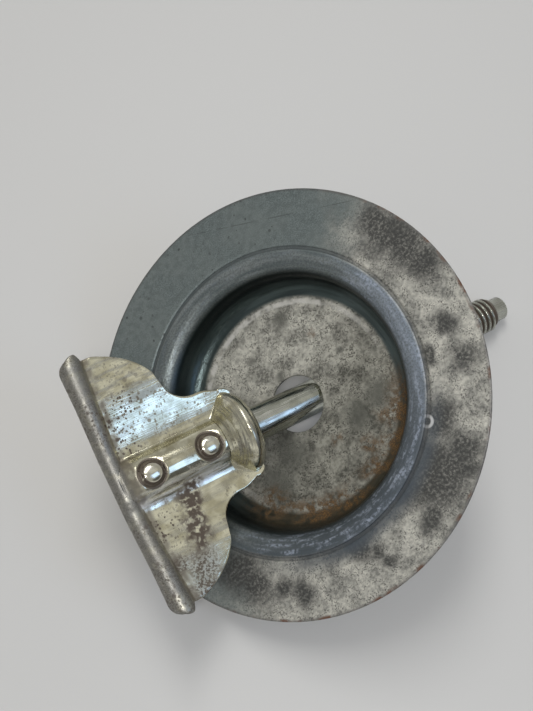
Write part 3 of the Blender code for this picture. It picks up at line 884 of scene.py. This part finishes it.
def cup_colour(tree, place, radius, worn, wall, floor):
    """Cup: blue shoulder with pale scuffs and painted highlights along the ring, a painted sky reflection on
    its right and painted shade on its low side; a wall darkened as painted shade, darkest on the far side; a
    warm speckled floor painted lit on one side and shaded on the other, with a painted highlight along its
    edge.

    Gives the colour and the mask of the floor's stains and painted shadow.
    """
    x, y, z = split(tree, place)
    round_x = calc(tree, "DIVIDE", x, radius)
    round_y = calc(tree, "DIVIDE", y, radius)
    around = join(tree, round_x, round_y, plus(tree, radius, z))
    # Pale blue streaks along the ring, partly scuffs and partly painted highlights.
    scuff_and_highlight = use(tree, STREAK, Vector=around, Stretch=(7.0, 7.0, 9.0), Low=0.42, High=0.70)
    rub_and_highlight = plus(tree, times(tree, worn, 0.8), 0.2)
    broken = cloud(tree, place, 13.0, 5.0, 0.36, 0.6)
    tone = use(tree, STREAK, Vector=around, Stretch=(2.2, 2.2, 6.0), Low=0.35, High=0.65)
    # Painted sky reflection: the shoulder turns pale blue towards its right side.
    shoulder_lit_side = ease(tree, towards(tree, place, (0.8, -0.6, 0.0)), 1.0, 3.0)
    shoulder = blend(tree, tone, *SHOULDER_ZINC)
    shoulder = tint(tree, shoulder, SHOULDER_PAINTED_SKY, 0.7, shoulder_lit_side)
    # Painted shade: the shoulder darkens towards its low side.
    shoulder = tint(tree, shoulder, SHOULDER_LOW_PAINTED_SHADE, 0.85, ease(tree, y, -1.0, -3.4))
    shoulder = tint(tree, shoulder, SHOULDER_GRAIN, 0.45, cloud(tree, place, 22.0, 5.0, 0.40, 0.62))
    shoulder = tint(tree, shoulder, SCUFF_AND_HIGHLIGHT, 0.75, scuff_and_highlight, rub_and_highlight, broken)
    # Wall: painted shade, near black zinc tones with streaks, darkest high up on the far side.
    foot = ease(tree, z, -0.40, -0.85)
    far_wall_shade = ease(tree, towards(tree, place, (0.6, 0.8, 0.0)), 0.8, 2.6)
    side = tint(tree, blend(tree, foot, *WALL_PAINTED_SHADE), WALL_SHADE_STREAK, 0.6, tone)
    side = blend(tree, times(tree, far_wall_shade, rest(tree, foot)), side, FAR_WALL_PAINTED_SHADE)
    side = tint(tree, side, WALL_BROWN, 0.8, ease(tree, y, -0.8, -2.2), foot)
    # Painted light and shade: a lit copy of the speckled floor on one side, a shaded copy on the other.
    floor_lit_side = ease(tree, calc(tree, "SUBTRACT", y, times(tree, x, 0.3)), -1.6, 1.3)
    base = blend(tree, floor_lit_side, speckled(tree, place, *FLOOR_PAINTED_SHADED), speckled(tree, place, *FLOOR_PAINTED_LIT))
    # Dark stains, with a painted shadow of the wing and collar among them.
    stain_and_shadow = patches(tree, place, FLOOR, 0.30, FLOOR_STAINS_AND_SHADOW)
    base = tint(tree, base, FLOOR_STAIN_AND_SHADOW, 0.8, stain_and_shadow)
    # Painted highlight: a pale line along the floor's edge where it bends up, on its lit side.
    floor_edge_highlight = times(tree, band(tree, radius, 2.66, 0.10), cloud(tree, place, 3.0, 4.0, 0.36, 0.55))
    base = tint(tree, base, FLOOR_EDGE_PAINTED_HIGHLIGHT, 0.8, floor_edge_highlight, floor_lit_side)
    return blend(tree, floor, blend(tree, wall, shoulder, side), base), stain_and_shadow


def rust_mask(tree, place, radius):
    """Rust in the cup's low corner and in a few spots of its floor."""
    low_side = ease(tree, towards(tree, place, (0.05, -0.998, 0.0)), 0.6, 2.0)
    corner = times(tree, ease(tree, radius, 2.25, 2.72), ease(tree, radius, 3.12, 2.98), low_side)
    spots = patches(tree, place, FLOOR, 0.55, RUST_SPOTS)
    grainy = cloud(tree, place, 7.0, 7.0, 0.34, 0.56)
    drift = cloud(tree, place, 1.6, 4.0, 0.30, 0.50)
    return times(tree, most(tree, times(tree, corner, drift), times(tree, spots, 0.85)), grainy)


def dish_material():
    """Galvanised sheet, dulled by use, with painted shade along the crease and rust in the cup."""
    material, tree, shader, place = new_material("galvanised_worn")
    x, y, z = split(tree, place)
    radius = hypotenuse(tree, x, y)
    worn, cup, wall, floor = dish_zones(tree, place, radius)
    flange, stain_and_shadow, rim_rust = flange_colour(tree, place, radius, worn)
    inside, spots = cup_colour(tree, place, radius, worn, wall, floor)
    # Painted shade: a dark line along the crease.
    crease = times(tree, band(tree, radius, CREASE_AT, 0.11), ease(tree, z, -0.012, -0.03))
    colour = tint(tree, blend(tree, cup, flange, inside), CREASE_PAINTED_SHADE, 0.55, crease)
    rust = rust_mask(tree, place, radius)
    fine = cloud(tree, place, 34.0, 4.0, 0.35, 0.68)
    put(tree, shader.inputs["Base Color"], tint(tree, colour, blend(tree, fine, *RUST), 0.95, rust))
    dull = most(tree, times(tree, stain_and_shadow, 0.3), times(tree, spots, 0.3), rust, times(tree, rim_rust, 0.8))
    pale = most(tree, worn, floor)
    metal = ease(tree, pale, 0.0, 1.0, 0.85, 0.6)
    put(tree, shader.inputs["Metallic"], times(tree, metal, rest(tree, dull)))
    rough = ease(tree, pale, 0.0, 1.0, 0.40, 0.47)
    rough = calc(tree, "SUBTRACT", rough, times(tree, wall, rest(tree, floor), 0.12))
    fold = band(tree, radius, CREASE_AT - 0.06, 0.22)
    rough = plus(tree, rough, times(tree, fold, 0.15), times(tree, dull, 0.25))
    put(tree, shader.inputs["Roughness"], rough)
    dents = cloud(tree, place, 9.0, 5.0, 0.4, 0.62)
    height = plus(tree, times(tree, fine, 0.4), times(tree, dents, 0.6))
    put(tree, shader.inputs["Normal"], bump(tree, height, 0.14, 0.0004))
    return material


# Wing, bolt and rivet finishes: places are in centimetres in the bolt's own frame
MOUTH = WING_REACH / 10.0
GRIME_AND_SHADE = (0.080, 0.060, 0.044)
RUBBED_AND_HIGHLIGHT = (0.90, 0.905, 0.89)
PATINA = ((0.20, 0.195, 0.18), (0.36, 0.35, 0.32))
LEAF_LEVEL = 0.2
THICK_PITS = ((4.20, -1.85, 0.75), (4.75, -1.60, 0.85), (4.60, -0.90, 0.75), (4.60, 1.30, 0.90))
CORRODED_TIP = ((4.15, 2.5, 0.75), (4.35, 2.95, 0.6), (4.7, 2.2, 0.5))
RUN_SIDE = (0.9655, -0.261, 0.0)
RUN_AT = 3.31
RUN_HALF = 0.44


def zinc_material(name, light, dark, rough, marks):
    """Bright zinc plate with a yellow tint, dulled in clouds.

    The function marks gives the masks of one piece: dirt with painted shade in it, patina, and rubbed places
    with painted highlights.
    """
    material, tree, shader, place = new_material(name)
    tarnish = cloud(tree, place, 2.6, 6.0, 0.36, 0.66)
    fine = cloud(tree, place, 45.0, 3.0, 0.35, 0.7)
    dirt_and_shade, patina, rub_and_highlight = marks(tree, place)
    # Pale rubbed places, and painted highlights on the wing's crest.
    colour = blend(tree, rub_and_highlight, blend(tree, tarnish, light, dark), RUBBED_AND_HIGHLIGHT)
    colour = blend(tree, patina, colour, blend(tree, fine, *PATINA))
    # Grime, and the painted shade in the wing's valleys, take the same dark tone.
    put(tree, shader.inputs["Base Color"], blend(tree, dirt_and_shade, colour, GRIME_AND_SHADE))
    put(tree, shader.inputs["Metallic"], rest(tree, times(tree, dirt_and_shade, 0.8)))
    soiled = times(tree, most(tree, dirt_and_shade, rub_and_highlight), 0.3)
    worn = plus(tree, times(tree, tarnish, 0.03), times(tree, patina, 0.38), soiled, rough)
    put(tree, shader.inputs["Roughness"], worn)
    brushed = use(tree, STREAK, Vector=place, Stretch=(1.5, 28.0, 28.0), Low=0.3, High=0.7)
    height = calc(tree, "SUBTRACT", times(tree, brushed, 0.12), times(tree, dirt_and_shade, 0.10))
    put(tree, shader.inputs["Normal"], bump(tree, height, 0.15, 0.0003))
    return material


def rivet_dark_ring(tree, place, low, high):
    """Dark ring round both rivets, between two distances from their axes."""
    masks = []
    flat = vector_calc(tree, "MULTIPLY", place, (1.0, 1.0, 0.0))
    for distance in RIVET_PLACES:
        away = vector_value(tree, "DISTANCE", flat, (MOUTH + distance / 10.0, 0.0, 0.0))
        masks.append(ease(tree, band(tree, away, (low + high) / 2, (high - low) / 2), 0.05, 0.45))
    return times(tree, most(tree, *masks), cloud(tree, place, 9.0, 4.0, 0.15, 0.40))


def wing_marks(tree, place):
    """Pitted ears, a brown run and a corroded tip on one ear, dull bead, painted shade in the valleys beside
    the bead.

    The collar is scraped in hoops, and one flank of the crest carries a streaky painted highlight.
    """
    x, y, z = split(tree, place)
    out = calc(tree, "ABSOLUTE", y)
    small = use(tree, PITS, Vector=place, Scale=17.0, Size=0.85)
    large = use(tree, PITS, Vector=place, Scale=6.5, Size=0.50)
    field = cloud(tree, place, 1.5, 3.0, 0.40, 0.56)
    thick = patches(tree, place, LEAF_LEVEL, 0.5, THICK_PITS)
    pits = times(tree, most(tree, small, large), most(tree, times(tree, field, 0.6), thick))
    tip = patches(tree, place, LEAF_LEVEL, 0.4, CORRODED_TIP)
    speck = cloud(tree, place, 19.0, 5.0, 0.43, 0.55)
    wobble = calc(tree, "SUBTRACT", noise(tree, place, 3.0, 5.0)[0], 0.5)
    beside = plus(tree, towards(tree, place, RUN_SIDE), times(tree, wobble, 0.9))
    run = band(tree, beside, RUN_AT, RUN_HALF)
    run = times(tree, run, ease(tree, y, 0.40, 0.62), ease(tree, y, 2.45, 2.05))
    run = times(tree, run, cloud(tree, place, 8.0, 6.0, 0.32, 0.50))
    lines = use(tree, STREAK, Vector=place, Stretch=(3.0, 40.0, 10.0), Low=0.50, High=0.66)
    ridge = times(tree, band(tree, out, LIFT_STOP / 10.0 + 0.02, 0.16), lines, ease(tree, x, 3.4, 4.2))
    pinch = MOUTH + PINCH_AT / 10.0
    inset = plus(tree, x, times(tree, y, y, 0.016))
    # Painted shade: darker along the valley between the ear and the bead.
    painted_valley_shade = times(tree, band(tree, inset, pinch, 0.20), cloud(tree, place, 4.0, 5.0, 0.28, 0.55))
    ring = rivet_dark_ring(tree, place, 0.24, 0.40)
    dirt_and_shade = most(tree, pits, times(tree, tip, speck, 0.9), run, times(tree, ridge, 0.7))
    dirt_and_shade = most(tree, dirt_and_shade, times(tree, painted_valley_shade, 0.75), times(tree, ring, 0.95))
    dull = plus(tree, times(tree, cloud(tree, place, 5.0, 6.0, 0.2, 0.55), 0.3), 0.7)
    bead = times(tree, ease(tree, inset, pinch + 0.02, pinch + 0.15), dull)
    smear = use(tree, STREAK, Vector=place, Stretch=(1.0, 7.0, 3.0), Low=0.44, High=0.64)
    smear = times(tree, smear, ease(tree, out, 1.2, 2.2, 0.35, 0.65))
    patina = most(tree, bead, times(tree, tip, 0.7), smear)
    raised = ease(tree, calc(tree, "ABSOLUTE", z), 0.22, 0.34)
    flank = times(tree, raised, cloud(tree, place, 6.0, 5.0, 0.1, 0.5))
    break_line = MOUTH + COLLAR_LENGTH / 10.0
    hoops = use(tree, STREAK, Vector=place, Stretch=(26.0, 1.5, 1.5), Low=0.40, High=0.62)
    collar = times(tree, ease(tree, x, break_line, break_line - 0.10), flank, hoops)
    # Painted highlight: a pale streaky band along one flank of the crest.
    highlight_streaks = use(tree, STREAK, Vector=place, Stretch=(1.5, 16.0, 8.0), Low=0.30, High=0.60)
    rub_and_highlight = times(tree, band(tree, y, 0.56, 0.30), ease(tree, x, break_line, break_line + 0.15), highlight_streaks)
    return dirt_and_shade, most(tree, patina, times(tree, collar, 0.8)), rub_and_highlight


def rod_marks(tree, place):
    """Darkened thread roots, drawing lines along the shank and a few fine pits."""
    x, y, z = split(tree, place)
    radius = hypotenuse(tree, y, z)
    start = THREAD_START / 10.0
    stop = THREAD_STOP / 10.0
    thread = times(tree, ease(tree, x, start + 0.05, start - 0.05), ease(tree, x, stop - 0.02, stop + 0.04))
    root = times(tree, ease(tree, radius, 0.468, 0.420), thread)
    pits = use(tree, PITS, Vector=place, Scale=9.0, Size=0.22)
    lines = use(tree, STREAK, Vector=place, Stretch=(1.2, 26.0, 26.0), Low=0.48, High=0.66)
    patina = most(tree, times(tree, lines, 0.45), ease(tree, x, start + 0.3, start - 0.3, 0.0, 0.25))
    return most(tree, root, times(tree, pits, 0.6)), patina, times(tree, lines, 0.2)


def rivet_marks(tree, place):
    """A darkened skirt and a few pits."""
    pits = use(tree, PITS, Vector=place, Scale=12.0, Size=0.3)
    skirt = rivet_dark_ring(tree, place, 0.215, 0.34)
    rub_and_highlight = cloud(tree, place, 5.0, 3.0, 0.45, 0.65)
    return most(tree, times(tree, pits, 0.7), skirt), times(tree, pits, 0.3), times(tree, rub_and_highlight, 0.3)


dish.data.materials.append(dish_material())
wing_zinc = zinc_material("zinc_leaf", (0.86, 0.84, 0.665), (0.54, 0.51, 0.365), 0.09, wing_marks)
wing.data.materials.append(wing_zinc)
bolt_zinc = zinc_material("zinc_bolt", (0.57, 0.585, 0.515), (0.40, 0.410, 0.350), 0.14, rod_marks)
bolt.data.materials.append(bolt_zinc)
rivet_zinc = zinc_material("zinc_rivet_head", (0.80, 0.78, 0.66), (0.69, 0.665, 0.53), 0.11, rivet_marks)
for rivet in rivets:
    rivet.data.materials.append(rivet_zinc)


# Table
def table():
    """Pale flat floor under the part, with a faint sheen."""
    half = 2.0
    corners = [(-half, -half, 0.0), (half, -half, 0.0), (half, half, 0.0), (-half, half, 0.0)]
    mesh = bpy.data.meshes.new("table")
    mesh.from_pydata(corners, [], [(0, 1, 2, 3)])
    item = new_object("table", mesh)
    material = bpy.data.materials.new("table_top")
    material.use_nodes = True
    shader = material.node_tree.nodes["Principled BSDF"]
    shader.inputs["Base Color"].default_value = (0.60, 0.598, 0.592, 1.0)
    shader.inputs["Roughness"].default_value = 0.45
    shader.inputs["Specular IOR Level"].default_value = 0.4
    mesh.materials.append(material)


table()


# Light
def area_light(name, place, size, lengthwise, power, colour):
    """Soft light aimed at the part: its two sizes, the direction of the second, power and colour."""
    data = bpy.data.lights.new(name, "AREA")
    data.shape = "RECTANGLE"
    data.size, data.size_y = size
    data.energy = power
    data.color = colour
    back = Vector(place).normalized()
    side = Vector(lengthwise).cross(back).normalized()
    turn = Matrix((side, back.cross(side), back)).transposed().to_4x4()
    item = new_object(name, data)
    item.matrix_world = Matrix.Translation(place) @ turn


ROOM_LOW = (0.56, 0.555, 0.545)
ROOM_HIGH = (0.38, 0.375, 0.36)
ROOM_DIM = (0.10, 0.10, 0.10)
DIM_SIDE = (0.38, -0.90, 0.22)


def room():
    """Warm grey room, paler towards the horizon, with one dim corner under the side light."""
    world = bpy.data.worlds.new("room")
    world.use_nodes = True
    tree = world.node_tree
    direction = tree.nodes.new("ShaderNodeTexCoord").outputs["Generated"]
    height = split(tree, direction)[2]
    dim = ease(tree, towards(tree, direction, DIM_SIDE), 0.955, 0.985)
    colour = blend(tree, ease(tree, height, 0.05, 0.35), ROOM_LOW, ROOM_HIGH)
    put(tree, tree.nodes["Background"].inputs["Color"], blend(tree, dim, colour, ROOM_DIM))
    bpy.context.scene.world = world


area_light("overhead", (0.165, 0.34, 0.92), (0.24, 0.60), (0.53, 0.848, 0.0), 2.9, (1.0, 0.99, 0.96))
area_light("key", (-0.18, -0.31, 0.94), (0.16, 0.16), (0.0, 1.0, 0.0), 2.6, (1.0, 0.99, 0.98))
area_light("fill", (0.52, -0.16, 0.94), (0.36, 0.44), (0.0, 1.0, 0.0), 0.09, (1.0, 0.97, 0.88))
area_light("side", (0.62, -0.89, 0.915), (0.46, 0.665), (0.0, -1.0, -0.8), 1.70, (0.38, 0.60, 1.0))
room()

# Camera at the photograph's place
camera_data = bpy.data.cameras.new("camera")
camera_data.sensor_fit = "VERTICAL"
camera_data.sensor_height = 36.0
camera_data.lens = 58.76
camera = new_object("camera", camera_data)
right = Vector((0.85586, -0.51582, -0.03786))
upward = Vector((0.48661, 0.77827, 0.39687))
from_pivot = Vector((-0.05321, -0.09294, 0.27880))
turn = Matrix((right, upward, right.cross(upward))).transposed().to_4x4()
camera.matrix_world = Matrix.Translation(Vector(pivot) + from_pivot) @ turn
bpy.context.scene.camera = camera
bpy.context.scene.view_settings.view_transform = "Standard"
